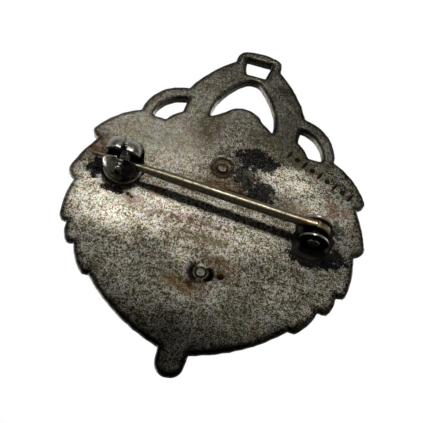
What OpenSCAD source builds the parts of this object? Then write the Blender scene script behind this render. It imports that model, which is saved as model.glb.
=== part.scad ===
// Cap badge: a die-struck silver plate with a pierced crown and a leafy wreath,
// a round device riveted to its front, and a hinged pin with a rotary catch on its back.
// X runs across the badge, Z points up to the crown, and +Y is the back that carries the pin.
// The origin lies on the back face, where the badge rests against the cloth.

/* [Plate] */
// Thickness of the plate behind the wreath
plate_t = 1.1; // [0.9:0.1:1.5]
// Thickness of the crown and its pierced straps
crown_t = 1.5; // [1.2:0.1:1.9]
// Height of the leaves and the ribbon above the plate
leaf_rise = 0.5; // [0.3:0.1:0.7]
// Radius of the pearls along the crown's arches
pearl_r = 0.55; // [0.4:0.05:0.65]

/* [Device] */
// Radius of the round device on the front
device_r = 8.8; // [8.4:0.1:9.0]
// Thickness of the device without its relief
device_t = 0.9; // [0.7:0.1:1.2]
// Height of the device's centre
device_z = -0.85; // [-1.2:0.05:-0.5]
// Number of petals in the rosette
petals = 8; // [6:1:12]
// Radius of the two posts that hold the device
post_r = 0.58; // [0.5:0.02:0.64]
// Outer radius of the rove round each post
rove_r = 0.95; // [0.8:0.05:1.1]
// Radius of the sunk ring that each rove sits in
recess_r = 1.4; // [1.25:0.05:1.6]
// Depth of that sunk ring
recess_depth = 0.4; // [0.3:0.05:0.5]

/* [Catch] */
// Position across the badge of the middle of the catch
catch_x = 11.9; // [11.5:0.1:12.3]
// Height of the middle of the catch up the badge
catch_z = 2.5; // [2.4:0.05:2.6]
// Distance of the catch's axis from the back face
catch_y = 2.35; // [2.3:0.01:2.4]
// Tilt of the catch's axis from level, in degrees
catch_tilt = 2; // [1.5:0.5:2.5]
// Outer radius of the catch's barrel
barrel_r = 2.25; // [2.15:0.05:2.35]
// Length of the barrel
barrel_l = 4.6; // [4.4:0.1:4.8]
// Radius of the barrel's rounded ends
barrel_round = 1.5; // [1.2:0.1:1.6]
// Radius of the hole through the barrel and the rotor
barrel_bore_r = 1.25; // [1.22:0.01:1.28]
// Width of the slot that the rotor turns in
slot_w = 0.62; // [0.58:0.02:0.7]
// Height of the mouth's upper lip below the barrel's axis
lip_drop = 0.3; // [0.26:0.01:0.32]
// Radius of the round foot under the catch
foot_r = 2.35; // [2.2:0.05:2.5]
// Thickness of that foot
foot_t = 0.3; // [0.25:0.05:0.35]

/* [Hinge] */
// Position across the badge of the hinge rivet
hinge_x = -11.85; // [-12.2:0.05:-11.5]
// Distance of the rivet from the back face
hinge_y = 2.05; // [2.05:0.05:2.2]
// Radius of the two round cheeks
cheek_r = 1.75; // [1.65:0.05:1.85]
// Thickness of each cheek
cheek_t = 0.4; // [0.35:0.05:0.5]
// Clear width between the cheeks
cheek_gap = 2.0; // [1.9:0.05:2.2]
// Radius of the rivet
rivet_r = 0.45; // [0.4:0.05:0.5]

/* [Pin] */
// Radius of the pin's wire
stem_r = 0.56; // [0.5:0.01:0.56]
// Radius of the flat eye at its end
eye_r = 1.6; // [1.5:0.05:1.6]
// Thickness of the eye
eye_t = 1.0; // [0.9:0.05:1.0]
// Height of the middle of the eye up the badge
eye_z = 0.3; // [0.25:0.05:0.35]
// Length of the pin from the rivet to its point
stem_l = 28.2; // [27.6:0.1:28.6]
// Length of straight wire before the taper starts
straight_l = 17.6; // [17:0.1:17.6]

/* [Hidden] */

// A length that is enough to cut right through any piece
past = 6;
// Radial gap round a part that turns or slides on another
fit_gap = 0.04;

// Right half of the outline, from the crown's top down to the foot of the badge. Each row is
// x, z and how far the edge bulges outward before the next row.
outline_rows = [
    [0, 23.9, 0.05],
    [1.95, 23.6, 0.25],
    [2.85, 22.5, 0],
    [2.85, 21.8, 0.43],
    [7.45, 15.95, 1.27],
    [12.15, 11.05, 0.55],
    [16.8, 6.75, 0.15],
    [15.85, 5.7, 0.2],
    [17.9, 0.9, 0.3],
    [16.85, -0.4, 0.25],
    [17.05, -5.3, 0.3],
    [15.9, -5.9, 0.2],
    [15.55, -8.1, 0.2],
    [14.35, -8.3, 0.3],
    [12.5, -11.55, 0.15],
    [11.75, -11.45, 0.8],
    [1.7, -17.55, 0],
    [1.62, -18.9, 0.47],
    [0, -20.5, 0]
];

// Right half of the hole between the crown's arches and its cap
crescent_rows = [
    [0, 19.4, 0.05],
    [0.95, 19.15, 0.25],
    [3.65, 15.3, 0.12],
    [3.95, 12.75, 0],
    [2.3, 13.95, -0.35],
    [0, 15.15, 0]
];

// Hole in the loop on the crown's right
loop_hole_rows = [
    [7.1, 14.45, 0.84],
    [10.65, 11.2, 0.1],
    [10.3, 10.72, 0],
    [8.95, 10.68, -0.15],
    [7.25, 12.45, 0]
];

// Hole in the block on top of the crown
top_hole = [[-1.72, 22.6], [1.72, 22.6], [1.22, 20.3], [-1.22, 20.3]];

// Leaves on the right: x and z of the base, x and z of the tip, and the width
leaf_rows = [
    [10.2, 9.6, 16.7, 6.4, 4.2],
    [12.4, 6.9, 17.7, 0.4, 4.3],
    [12.9, 1.7, 16.9, -5.6, 4.1],
    [12.3, -2.4, 15.4, -8.2, 3.7],
    [10.9, -5.0, 12.3, -11.5, 3.9]
];

// Rib along the middle of each leaf: width, height over the leaf, and gaps at its base and tip
rib_w = 0.32;
rib_rise = 0.2;
rib_gap = [0.6, 0.8];
// Centre and radii of the ribbon under the device, and half the angle that it spans
ribbon_z = -4.3;
ribbon_r = [7.7, 12.2];
ribbon_spread = 48;
// Half width and lowest height of the thicker crown
crown_half = 12.3;
crown_foot = 9.7;
// Centre and radii of the crown's lower band, half the angle that it spans, and its height
band_z = -6;
band_r = [15.4, 17.8];
band_spread = 27;
band_rise = 0.35;
// Centre of the long curve of the crown's shoulders, and the radius along which its pearls lie
shoulder = [-7.5, 9.2];
shoulder_r = 14.65;
// Centre of the round side loops, and the radius along which their pearls lie
loop = [6.9, 10.6];
loop_r = 4.5;

// Device: gap round it, radius of its rim, and height of its petals
seat_gap = 0.15;
rim_r = 0.6;
petal_rise = 0.45;
// Petal: distance of its base and tip from the centre, and its width
petal_base = 1.2;
petal_tip = 6.9;
petal_w = 2.9;
// Domed boss: radius of its sphere and depth of the sphere's middle behind the front
boss_r = 2.0;
boss_sink = 1.1;

// Posts: x and z of the upper and the lower one
post_upper = [0.65, 6.1];
post_lower = [-0.45, -7.8];
rove_t = 0.3;
// Radial gap round a post
post_gap = 0.02;
post_top = -0.05;
post_sink = 0.4;

// Catch, worked out from its sizes
base_t = 0.22;
base_r = 1.95;
rotor_r = catch_y - foot_t - base_t - fit_gap;
// Hub on each side of the rotor that keeps it in the barrel
hub_r = barrel_bore_r + 0.25;
hub_l = 0.27;
// Radius of the tapering pin where it enters the catch
pin_at_mouth_r = 0.403;
// Lower edges of the rotor's gap and of the barrel's mouth, below the barrel's axis
gap_edge = lip_drop + 2 * pin_at_mouth_r + 2 * fit_gap;
mouth_edge = gap_edge + 0.026;
// Upper edge of the rotor's gap, above the barrel's axis
gap_back = 0.9;
// Finger: degrees below the outward direction, radius of its tip's middle, and thickness
finger_angle = 62;
finger_tip = 2.55;
finger_t = 0.46;
finger_root = barrel_bore_r + 0.2;

// Hinge and pin, worked out from their sizes
hinge_foot_r = 2.1;
hinge_foot_l = 1.4;
hinge_foot_t = 0.35;
solder_w = 0.5;
solder_h = 0.22;
head_r = 0.75;
head_t = 0.16;
// Half width of the part of each cheek that stands on the foot
stand_half = cheek_r * 0.8;
stem_y = hinge_y + eye_r - stem_r;
stem_rise = 3.69;
stem_dip = 1.45;
taper_end_l = 27.05;
taper_end_r = 0.18;
point_r = 0.03;

// Points along the arc from a to b that bulges by s to the left of the way walked, without b
function arc_run(a, b, s, steps = 8) =
    abs(s) < 0.01 ? [a] :
    let(
        half = norm(b - a) / 2,
        r = (half * half + s * s) / (2 * s),
        left = [a[1] - b[1], b[0] - a[0]] / (2 * half),
        centre = (a + b) / 2 + left * (s - r),
        start = atan2(a[1] - centre[1], a[0] - centre[0]),
        sweep = -2 * sign(s) * asin(half / abs(r))
    )
    [for (i = [0 : steps - 1])
        centre + abs(r) * [cos(start + sweep * i / steps), sin(start + sweep * i / steps)]];

// Point at the start of a row
function row_point(row) = [row[0], row[1]];

// Points along a list of rows, from its first row to its last
function walk(rows) = [
    for (i = [0 : len(rows) - 2])
        each arc_run(row_point(rows[i]), row_point(rows[i + 1]), rows[i][2]),
    row_point(rows[len(rows) - 1])
];

// The same points on the other side of the badge, in the opposite order
function mirrored(points) = [
    for (i = [len(points) - 2 : -1 : 1]) [-points[i][0], points[i][1]]
];

module both_sides() {
    children();
    mirror([1, 0, 0]) children();
}

// Flat shape of the whole badge
module outline() {
    right = walk(outline_rows);
    polygon(concat(right, mirrored(right)));
}

// Flat shape of the hole between the arches
module crescent() {
    right = walk(crescent_rows);
    polygon(concat(right, mirrored(right)));
}

// A flat shape, drawn in X and Z, given thickness t in front of the plane y
module slab(y, t) {
    translate([0, y, 0]) rotate([90, 0, 0]) linear_extrude(t) children();
}

// A round rod along Y from y0 to y1
module rod_y(at, y0, y1, r) {
    translate([at[0], y1, at[1]]) rotate([90, 0, 0]) cylinder(r = r, h = y1 - y0, $fn = 64);
}

// Part of a flat ring, centred at height z, within some degrees of the given direction
module ring_part(z, radii, direction, spread) {
    reach = radii[1] * 2;
    translate([0, z]) intersection() {
        difference() {
            circle(r = radii[1], $fn = 128);
            circle(r = radii[0], $fn = 128);
        }
        polygon([
            [0, 0],
            reach * [cos(direction - spread), sin(direction - spread)],
            reach * [cos(direction), sin(direction)],
            reach * [cos(direction + spread), sin(direction + spread)]
        ]);
    }
}

// Pointed leaf shape from its base to its tip
module leaf(row) {
    run = [row[2] - row[0], row[3] - row[1]];
    long = norm(run);
    wide = row[4];
    r = (long * long + wide * wide) / (4 * wide);
    translate([row[0], row[1]]) rotate(atan2(run[1], run[0])) intersection() {
        translate([long / 2, r - wide / 2]) circle(r = r, $fn = 96);
        translate([long / 2, wide / 2 - r]) circle(r = r, $fn = 96);
    }
}

// Narrow rib along the middle of a leaf
module leaf_rib(row) {
    run = [row[2] - row[0], row[3] - row[1]];
    translate([row[0], row[1]]) rotate(atan2(run[1], run[0]))
        translate([rib_gap[0], -rib_w / 2]) square([norm(run) - rib_gap[0] - rib_gap[1], rib_w]);
}

// Row of pearls along an arc: count pearls from one angle to another
module pearls(centre, r, from_angle, to_angle, count) {
    for (i = [0 : count - 1]) {
        angle = from_angle + (to_angle - from_angle) * i / (count - 1);
        translate([centre[0] + r * cos(angle), -crown_t, centre[1] + r * sin(angle)])
            sphere(r = pearl_r, $fn = 24);
    }
}

module badge_plate() {
    color("silver") difference() {
        union() {
            slab(0, plate_t) outline();
            slab(0, crown_t) intersection() {
                outline();
                translate([-crown_half, crown_foot]) square([2 * crown_half, 20]);
            }
            slab(0, plate_t + leaf_rise) intersection() {
                outline();
                both_sides() for (row = leaf_rows) leaf(row);
            }
            slab(0, plate_t + leaf_rise + rib_rise) both_sides() for (row = leaf_rows) leaf_rib(row);
            slab(0, plate_t + leaf_rise) ring_part(ribbon_z, ribbon_r, -90, ribbon_spread);
            slab(0, crown_t + band_rise) ring_part(band_z, band_r, 90, band_spread);
            both_sides() pearls(shoulder, shoulder_r, 61, 32, 5);
            both_sides() pearls(loop, loop_r, 72, 18, 4);
            pearls([0, band_z], (band_r[0] + band_r[1]) / 2, 112, 68, 5);
        }
        slab(past, 2 * past) crescent();
        slab(past, 2 * past) both_sides() polygon(walk(loop_hole_rows));
        slab(past, 2 * past) polygon(top_hole);
        rod_y([0, device_z], -past, -plate_t, device_r + seat_gap);
        for (at = [post_upper, post_lower]) {
            rod_y(at, -recess_depth, 1, recess_r);
            rod_y(at, -past, 1, post_r + post_gap);
        }
    }
}

module centre_device() {
    front = -plate_t - device_t;
    color("gainsboro") difference() {
        union() {
            rod_y([0, device_z], front, -plate_t, device_r);
            // Round rim
            translate([0, front, device_z]) rotate([90, 0, 0])
                rotate_extrude($fn = 96) translate([device_r - rim_r, 0]) circle(r = rim_r, $fn = 32);
            // Rosette of petals round a domed boss
            for (i = [0 : petals - 1])
                translate([0, front, device_z]) rotate([90, 0, 0]) rotate(i * 360 / petals)
                    linear_extrude(petal_rise) leaf([petal_base, 0, petal_tip, 0, petal_w]);
            translate([0, front + boss_sink, device_z]) sphere(r = boss_r, $fn = 48);
        }
        rod_y([0, device_z], -plate_t, past, device_r + 1);
        for (at = [post_upper, post_lower])
            rod_y(at, -plate_t - post_sink, 0, post_r + post_gap);
    }
}

// Post from its socket in the device to just under the back face
module device_post(at) {
    color("dimgray") rod_y(at, -plate_t - post_sink, post_top, post_r);
}

// Rove that the end of a post is spread over
module post_rove(at) {
    color("silver") difference() {
        rod_y(at, -recess_depth, rove_t - recess_depth, rove_r);
        rod_y(at, -past, past, post_r + post_gap);
    }
}

// Places its children on the catch's axis: X along the barrel, Y away from the plate
module on_catch() {
    translate([catch_x, catch_y, catch_z]) rotate([0, -catch_tilt, 0]) children();
}

// Round bar of length l centred on the catch's axis
module rod_x(l, r) {
    rotate([0, 90, 0]) cylinder(r = r, h = l, center = true, $fn = 96);
}

// Barrel with rounded ends
module barrel() {
    flat = barrel_l / 2 - barrel_round;
    rotate([0, 90, 0]) rotate_extrude($fn = 96) {
        translate([0, -barrel_l / 2]) square([barrel_r - barrel_round, barrel_l]);
        translate([0, -flat]) square([barrel_r, 2 * flat]);
        for (end = [-flat, flat])
            intersection() {
                translate([barrel_r - barrel_round, end]) circle(r = barrel_round, $fn = 64);
                translate([0, -barrel_l]) square([barrel_r + 1, 2 * barrel_l]);
            }
    }
}

module catch_foot() {
    color("gray") rod_y([catch_x, catch_z], 0, foot_t, foot_r);
}

module catch_solder() {
    color("dimgray") translate([catch_x, 0, catch_z]) rotate([-90, 0, 0]) difference() {
        cylinder(r1 = foot_r + solder_w, r2 = foot_r, h = solder_h, $fn = 96);
        translate([0, 0, -1]) cylinder(r = foot_r, h = 2, $fn = 96);
    }
}

module catch_case() {
    base_top = foot_t + base_t - catch_y;
    color("darkgray") on_catch() difference() {
        union() {
            barrel();
            rotate([0, catch_tilt, 0])
                rod_y([0, 0], foot_t - catch_y, base_top, base_r);
        }
        // Everything below the top of the foot
        translate([-past, foot_t - catch_y - past, -past]) cube([2 * past, past, 2 * past]);
        // Hole, slot and the two pockets that the rotor's hub turns in
        rod_x(barrel_l + 1, barrel_bore_r);
        translate([-slot_w / 2, base_top, -past]) cube([slot_w, past, 2 * past]);
        rod_x(slot_w + 2 * (hub_l + fit_gap), hub_r + fit_gap);
        // Mouth, open outward just below the barrel's axis
        translate([-past, 0, -mouth_edge]) cube([2 * past, past, mouth_edge - lip_drop]);
    }
}

module catch_rotor() {
    color("gainsboro") on_catch() {
        difference() {
            union() {
                rod_x(slot_w - 2 * fit_gap, rotor_r);
                rod_x(slot_w + 2 * hub_l, hub_r);
            }
            rod_x(barrel_l, barrel_bore_r);
            // Gap that lets the pin in and out
            translate([-past, 0, -gap_edge]) cube([2 * past, past, gap_edge + gap_back]);
        }
        // Finger to turn it by, with a round end
        rotate([-finger_angle, 0, 0]) {
            translate([-finger_t / 2, finger_root, -finger_t / 2])
                cube([finger_t, finger_tip - finger_root, finger_t]);
            translate([0, finger_tip, 0]) rod_x(finger_t, finger_t / 2);
        }
    }
}

// Flat foot with round ends, of the given thickness and extra width all round
module long_foot(extra_low, extra_high, t) {
    for (side = [-1, 1])
        translate([side * hinge_foot_l / 2, 0, 0])
            cylinder(r1 = hinge_foot_r + extra_low, r2 = hinge_foot_r + extra_high, h = t, $fn = 96);
    rotate([90, 0, 90]) translate([0, 0, -hinge_foot_l / 2]) linear_extrude(hinge_foot_l)
        polygon([
            [-hinge_foot_r - extra_low, 0],
            [hinge_foot_r + extra_low, 0],
            [hinge_foot_r + extra_high, t],
            [-hinge_foot_r - extra_high, t]
        ]);
}

// Places its children on the back face under the rivet, with their Z pointing away from it
module on_hinge_foot() {
    translate([hinge_x, 0, 0]) rotate([-90, 0, 0]) children();
}

module hinge_foot() {
    color("gray") on_hinge_foot() long_foot(0, 0, hinge_foot_t);
}

module hinge_solder() {
    color("dimgray") on_hinge_foot() difference() {
        long_foot(solder_w, 0, solder_h);
        translate([0, 0, -1]) long_foot(0, 0, 2);
    }
}

// Round cheek that stands on the foot, from height z up the badge
module hinge_cheek(z) {
    color("darkgray") translate([hinge_x, 0, z]) difference() {
        union() {
            translate([0, hinge_y, 0]) cylinder(r = cheek_r, h = cheek_t, $fn = 96);
            translate([-stand_half, 0, 0]) cube([2 * stand_half, hinge_y / 2, cheek_t]);
        }
        translate([-past, -past, -1]) cube([2 * past, past + hinge_foot_t, past]);
        translate([0, hinge_y, -1]) cylinder(r = rivet_r + 0.01, h = past, $fn = 48);
    }
}

module hinge_rivet() {
    outer = cheek_gap / 2 + cheek_t;
    color("gray") translate([hinge_x, hinge_y, 0]) {
        cylinder(r = rivet_r, h = 2 * outer, center = true, $fn = 48);
        for (side = [0, 180])
            rotate([side, 0, 0]) translate([0, 0, outer]) {
                cylinder(r = head_r, h = head_t / 2, $fn = 48);
                translate([0, 0, head_t / 2]) cylinder(r1 = head_r, r2 = rivet_r, h = head_t / 2, $fn = 48);
            }
    }
}

module pin_stem() {
    color("darkkhaki") difference() {
        union() {
            translate([hinge_x, hinge_y, eye_z - eye_t / 2]) cylinder(r = eye_r, h = eye_t, $fn = 96);
            translate([hinge_x, stem_y, eye_z]) rotate([0, -stem_rise, -stem_dip]) rotate([0, 90, 0]) {
                cylinder(r = stem_r, h = straight_l, $fn = 48);
                translate([0, 0, straight_l])
                    cylinder(r1 = stem_r, r2 = taper_end_r, h = taper_end_l - straight_l, $fn = 48);
                translate([0, 0, taper_end_l])
                    cylinder(r1 = taper_end_r, r2 = point_r, h = stem_l - taper_end_l, $fn = 48);
            }
        }
        translate([hinge_x, hinge_y, -past]) cylinder(r = rivet_r + fit_gap, h = 2 * past, $fn = 48);
    }
}

badge_plate();
centre_device();
device_post(post_upper);  // device_post_upper
device_post(post_lower);  // device_post_lower
post_rove(post_upper);  // post_rove_upper
post_rove(post_lower);  // post_rove_lower
catch_foot();
catch_solder();
catch_case();
catch_rotor();
hinge_foot();
hinge_solder();
hinge_cheek(-cheek_gap / 2 - cheek_t);  // hinge_cheek_lower
hinge_cheek(cheek_gap / 2);  // hinge_cheek_upper
hinge_rivet();
pin_stem();
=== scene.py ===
from functools import partial
from math import asin, atan2, copysign, cos, dist, hypot, pi, radians, sin, sqrt

import bpy
import numpy as np
from mathutils import Matrix, Vector


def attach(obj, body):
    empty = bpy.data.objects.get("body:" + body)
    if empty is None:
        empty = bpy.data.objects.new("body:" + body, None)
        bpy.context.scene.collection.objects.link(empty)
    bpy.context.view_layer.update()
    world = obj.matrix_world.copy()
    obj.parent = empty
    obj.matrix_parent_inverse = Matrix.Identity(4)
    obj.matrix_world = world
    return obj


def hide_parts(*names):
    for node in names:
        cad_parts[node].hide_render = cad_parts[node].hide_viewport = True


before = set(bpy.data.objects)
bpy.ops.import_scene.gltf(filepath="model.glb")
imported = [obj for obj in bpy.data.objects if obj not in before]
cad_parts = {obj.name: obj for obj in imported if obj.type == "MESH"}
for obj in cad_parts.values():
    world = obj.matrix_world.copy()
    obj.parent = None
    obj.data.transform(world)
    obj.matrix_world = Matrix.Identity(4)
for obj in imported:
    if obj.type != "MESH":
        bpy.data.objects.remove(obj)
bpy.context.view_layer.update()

# Cap badge seen from the back: a die-struck silver plate with a pierced crown and a wreath,
# a round device on its front, and a hinged pin with a rotary catch on its back.
# Shapes are worked out in millimetres in the CAD model's frame and written in metres: X runs
# across the badge, Z points up to the crown, and +Y is the back that carries the pin.
MM = 0.001
link = bpy.context.scene.collection.objects.link


# ---- shapes as distance fields

def meet(a, b, r):
    """Where both shapes are, with their shared edge rounded by radius r"""
    return np.minimum(np.maximum(a, b), -r) + np.hypot(np.maximum(a + r, 0), np.maximum(b + r, 0))


def cut(a, b, r):
    """Shape a without shape b, with the new edge rounded by radius r"""
    return meet(a, -b, r)


def join(a, b, k):
    """Both shapes together, with a fillet of about k between them"""
    near = np.maximum(k - np.abs(a - b), 0) / k
    return np.minimum(a, b) - near * near * k / 4


def disc(radial, axial, r, half, edge):
    """Round plate or bar of radius r and half length half, with its rims rounded by edge"""
    out_r = radial - r + edge
    out_a = np.abs(axial) - half + edge
    outside = np.hypot(np.maximum(out_r, 0), np.maximum(out_a, 0))
    return outside + np.minimum(np.maximum(out_r, out_a), 0) - edge


def ease(value, low, high):
    """0 below low, 1 above high, and smooth between them"""
    t = np.clip((value - low) / (high - low), 0, 1)
    return t * t * (3 - 2 * t)


def ridge(away, width):
    """1 along a line and falling off within about its width"""
    return np.exp(-(away / width) ** 2)


WAVES = 7


def ripple(a, b, size, seed):
    """Smooth random height between about -1 and 1, with bumps of the given size in mm"""
    rng = np.random.default_rng(seed)
    total = 0
    for _ in range(WAVES):
        turn = rng.uniform(0, 2 * pi)
        count = 2 * pi / size * rng.uniform(0.6, 1.3)
        shift = rng.uniform(0, 2 * pi)
        total = total + np.sin(count * (cos(turn) * a + sin(turn) * b) + shift)
    return total / sqrt(WAVES) / 1.4


# For the polish of a skin: how far off the slope is measured and how far a point may move, both
# in grid steps, and the least slope that is believed
PROBE = 0.25
MOST_MOVE = 0.6
LEAST_SLOPE = 0.5


def skin(field, low, high, step, polish=2, start=None, axes=None):
    """Points and quads of the surface where the field is zero. With a start and axes, they are
    turned from the field's own directions into the model's."""
    low = np.array(low, float)
    step = np.broadcast_to(np.array(step, float), 3)
    counts = np.ceil((np.array(high, float) - low) / step).astype(int) + 1
    grid = [low[i] + step[i] * np.arange(counts[i]) for i in range(3)]
    values = field(grid[0][:, None, None], grid[1][None, :, None], grid[2][None, None, :])
    values = np.array(np.broadcast_to(values, counts))
    inside = values < 0
    cells = counts - 1
    total = np.zeros((*cells, 3))
    hits = np.zeros(cells)

    def window(shift):
        return tuple(slice(first, first + many) for first, many in zip(shift, cells))

    # Each point of the surface is the mean of where its cell's edges cross it
    for axis in range(3):
        b, c = (axis + 1) % 3, (axis + 2) % 3
        for shift_b, shift_c in ((0, 0), (0, 1), (1, 0), (1, 1)):
            shift = [0, 0, 0]
            shift[b], shift[c] = shift_b, shift_c
            near = window(shift)
            shift[axis] = 1
            far = window(shift)
            where = np.nonzero(inside[near] != inside[far])
            v0, v1 = values[near][where], values[far][where]
            total[(*where, axis)] += v0 / (v0 - v1)
            total[(*where, b)] += shift_b
            total[(*where, c)] += shift_c
            hits[where] += 1
    used = hits > 0
    index = np.full(cells, -1)
    index[used] = np.arange(used.sum())
    corner = np.argwhere(used)
    points = low + step * (corner + total[used] / hits[used][:, None])
    quads = []
    # Each grid edge that crosses the surface gives a quad between the four cells round it
    for axis in range(3):
        b, c = (axis + 1) % 3, (axis + 2) % 3
        at = np.argwhere(np.diff(inside, axis=axis))
        at = at[(at[:, b] > 0) & (at[:, c] > 0) & (at[:, b] < cells[b]) & (at[:, c] < cells[c])]
        corners = []
        for shift_b, shift_c in ((-1, -1), (0, -1), (0, 0), (-1, 0)):
            cell = at.copy()
            cell[:, b] += shift_b
            cell[:, c] += shift_c
            corners.append(index[tuple(cell.T)])
        quad = np.stack(corners, 1)
        outward = inside[tuple(at.T)]
        quad[~outward] = quad[~outward][:, ::-1]
        quads.append(quad)
    quads = np.concatenate(quads)
    quads = quads[(quads >= 0).all(1)]
    for _ in range(polish):
        reach = float(step.min()) * PROBE
        value = field(*points.T)
        pairs = [(field(*(points + d).T), field(*(points - d).T)) for d in reach * np.eye(3)]
        slope = np.stack([after - before for after, before in pairs], 1) / (2 * reach)
        size = np.maximum((slope * slope).sum(1), LEAST_SLOPE ** 2)
        move = -value[:, None] * slope / size[:, None]
        points = points + np.clip(move, -step * MOST_MOVE, step * MOST_MOVE)
    if axes is not None:
        points = start + points @ axes
    return points, quads


GROOVE_GAIN = 1.6


def hollows(points, quads, rounds=2):
    """How deep each point lies between its neighbours, where 0.5 is level, 1 a groove and 0 an
    edge, and how nearly the surface there stands upright on the plate"""
    pairs = np.concatenate([quads[:, (i, (i + 1) % 4)] for i in range(4)])
    pairs = np.concatenate([pairs, pairs[:, ::-1]])
    here, other = pairs.T
    count = np.bincount(here, minlength=len(points))[:, None]

    def around(values):
        summed = [np.bincount(here, column[other], len(points)) for column in values.T]
        return np.stack(summed, 1) / np.maximum(count, 1)

    corner = [points[quads[:, i]] for i in range(4)]
    crossed = np.cross(corner[2] - corner[0], corner[3] - corner[1])
    normal = np.zeros_like(points)
    for i in range(4):
        for k in range(3):
            normal[:, k] += np.bincount(quads[:, i], crossed[:, k], len(points))
    normal /= np.maximum(np.linalg.norm(normal, axis=1), 1e-12)[:, None]
    spread = np.linalg.norm(points[here] - points[other], axis=1)
    spread = np.bincount(here, spread, len(points)) / np.maximum(count[:, 0], 1)
    depth = ((around(points) - points) * normal).sum(1) / np.maximum(spread, 1e-9)
    depth = depth[:, None]
    for _ in range(rounds):
        depth = 0.5 * depth + 0.5 * around(depth)
    return np.clip(0.5 + depth[:, 0] * GROOVE_GAIN, 0, 1), 1 - np.abs(normal[:, 1])


def make_piece(name, node, look, shape, body="badge", rings=None):
    """Mesh object from points and quads in mm, which rides on a body in place of a CAD node"""
    points, quads = shape
    mesh = bpy.data.meshes.new(name)
    mesh.vertices.add(len(points))
    mesh.vertices.foreach_set("co", (points * MM).astype(np.float32).ravel())
    mesh.loops.add(len(quads) * 4)
    mesh.loops.foreach_set("vertex_index", quads.astype(np.int32).ravel())
    mesh.polygons.add(len(quads))
    mesh.polygons.foreach_set("loop_start", np.arange(0, len(quads) * 4, 4, dtype=np.int32))
    mesh.polygons.foreach_set("loop_total", np.full(len(quads), 4, dtype=np.int32))
    mesh.update(calc_edges=True)
    mesh.validate()
    mesh.polygons.foreach_set("use_smooth", np.ones(len(mesh.polygons), dtype=bool))
    hollow, wall = hollows(points, quads)
    values = {"hollow": hollow, "wall": wall}
    if rings:
        values["inset"] = -ring_distance(points[:, 0], points[:, 2], rings)
    for title, value in values.items():
        layer = mesh.attributes.new(title, "FLOAT", "POINT")
        layer.data.foreach_set("value", value.astype(np.float32))
    mesh.materials.append(look)
    piece = bpy.data.objects.new(name, mesh)
    link(piece)
    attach(piece, body)
    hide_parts(node)


# ---- flat outlines

ARC_STEPS = 8


def arc_run(a, b, bulge):
    """Points along the arc from a to b that bulges to the left of the way walked, without b"""
    if abs(bulge) < 0.01:
        return [a]
    half = dist(a, b) / 2
    radius = (half * half + bulge * bulge) / (2 * bulge)
    left = ((a[1] - b[1]) / (2 * half), (b[0] - a[0]) / (2 * half))
    centre = [(a[i] + b[i]) / 2 + left[i] * (bulge - radius) for i in range(2)]
    start = atan2(a[1] - centre[1], a[0] - centre[0])
    sweep = -2 * copysign(1, bulge) * asin(min(1, half / abs(radius)))
    angles = [start + sweep * i / ARC_STEPS for i in range(ARC_STEPS)]
    radius = abs(radius)
    return [(centre[0] + radius * cos(t), centre[1] + radius * sin(t)) for t in angles]


def walk(rows):
    """Points along rows of x, z and the bulge before the next row"""
    points = []
    for row, after in zip(rows, rows[1:]):
        points += arc_run(row[:2], after[:2], row[2])
    return points + [tuple(rows[-1][:2])]


def both_halves(points):
    """A right half closed with its own mirror image"""
    return points + [(-x, z) for x, z in points[-2:0:-1]]


def turned_over(points):
    """The same shape on the other half of the badge"""
    return [(-x, z) for x, z in points[::-1]]


def ring_distance(x, z, rings):
    """Distance to the edges of the rings, negative inside the outline and outside its holes"""
    nearest = np.full(np.broadcast(x, z).shape, 1e9)
    odd = np.zeros(nearest.shape, bool)
    for ring in rings:
        for (ax, az), (bx, bz) in zip(ring, ring[1:] + ring[:1]):
            long2 = (bx - ax) ** 2 + (bz - az) ** 2
            if long2 < 1e-12:
                continue
            t = np.clip(((x - ax) * (bx - ax) + (z - az) * (bz - az)) / long2, 0, 1)
            gap_x = x - ax - t * (bx - ax)
            gap_z = z - az - t * (bz - az)
            nearest = np.minimum(nearest, gap_x * gap_x + gap_z * gap_z)
            if az != bz:
                odd ^= ((az > z) != (bz > z)) & (x < (bx - ax) * (z - az) / (bz - az) + ax)
    return np.where(odd, -1, 1) * np.sqrt(nearest)


# ---- sizes, in mm

# Rows of x, z and the bulge of the arc to the next row, for the half at +X
OUTLINE_ROWS = [
    (0, 23.9, 0.05), (1.95, 23.6, 0.25), (2.85, 22.5, 0), (2.85, 21.8, 0.43),
    (7.45, 15.95, 1.27), (12.15, 11.05, 0.55), (16.8, 6.75, 0.15), (15.85, 5.7, 0.2),
    (17.9, 0.9, 0.3), (16.85, -0.4, 0.25), (17.05, -5.3, 0.3), (15.9, -5.9, 0.2),
    (15.55, -8.1, 0.2), (14.35, -8.3, 0.3), (12.5, -11.55, 0.15), (11.75, -11.45, 0.8),
    (1.7, -17.55, 0), (1.62, -19.05, 0.47), (0, -20.65, 0),
]
CRESCENT_ROWS = [
    (0, 19.4, 0.05), (0.95, 19.15, 0.25), (3.65, 15.3, 0.12),
    (3.95, 12.75, 0), (2.3, 13.95, -0.35), (0, 15.15, 0),
]
LOOP_HOLE_ROWS = [
    (7.1, 14.45, 0.84), (10.65, 11.2, 0.1), (10.3, 10.72, 0),
    (8.95, 10.68, -0.15), (7.25, 12.45, 0),
]
TOP_HOLE = [(-1.72, 22.6), (1.72, 22.6), (1.22, 20.3), (-1.22, 20.3)]
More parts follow.
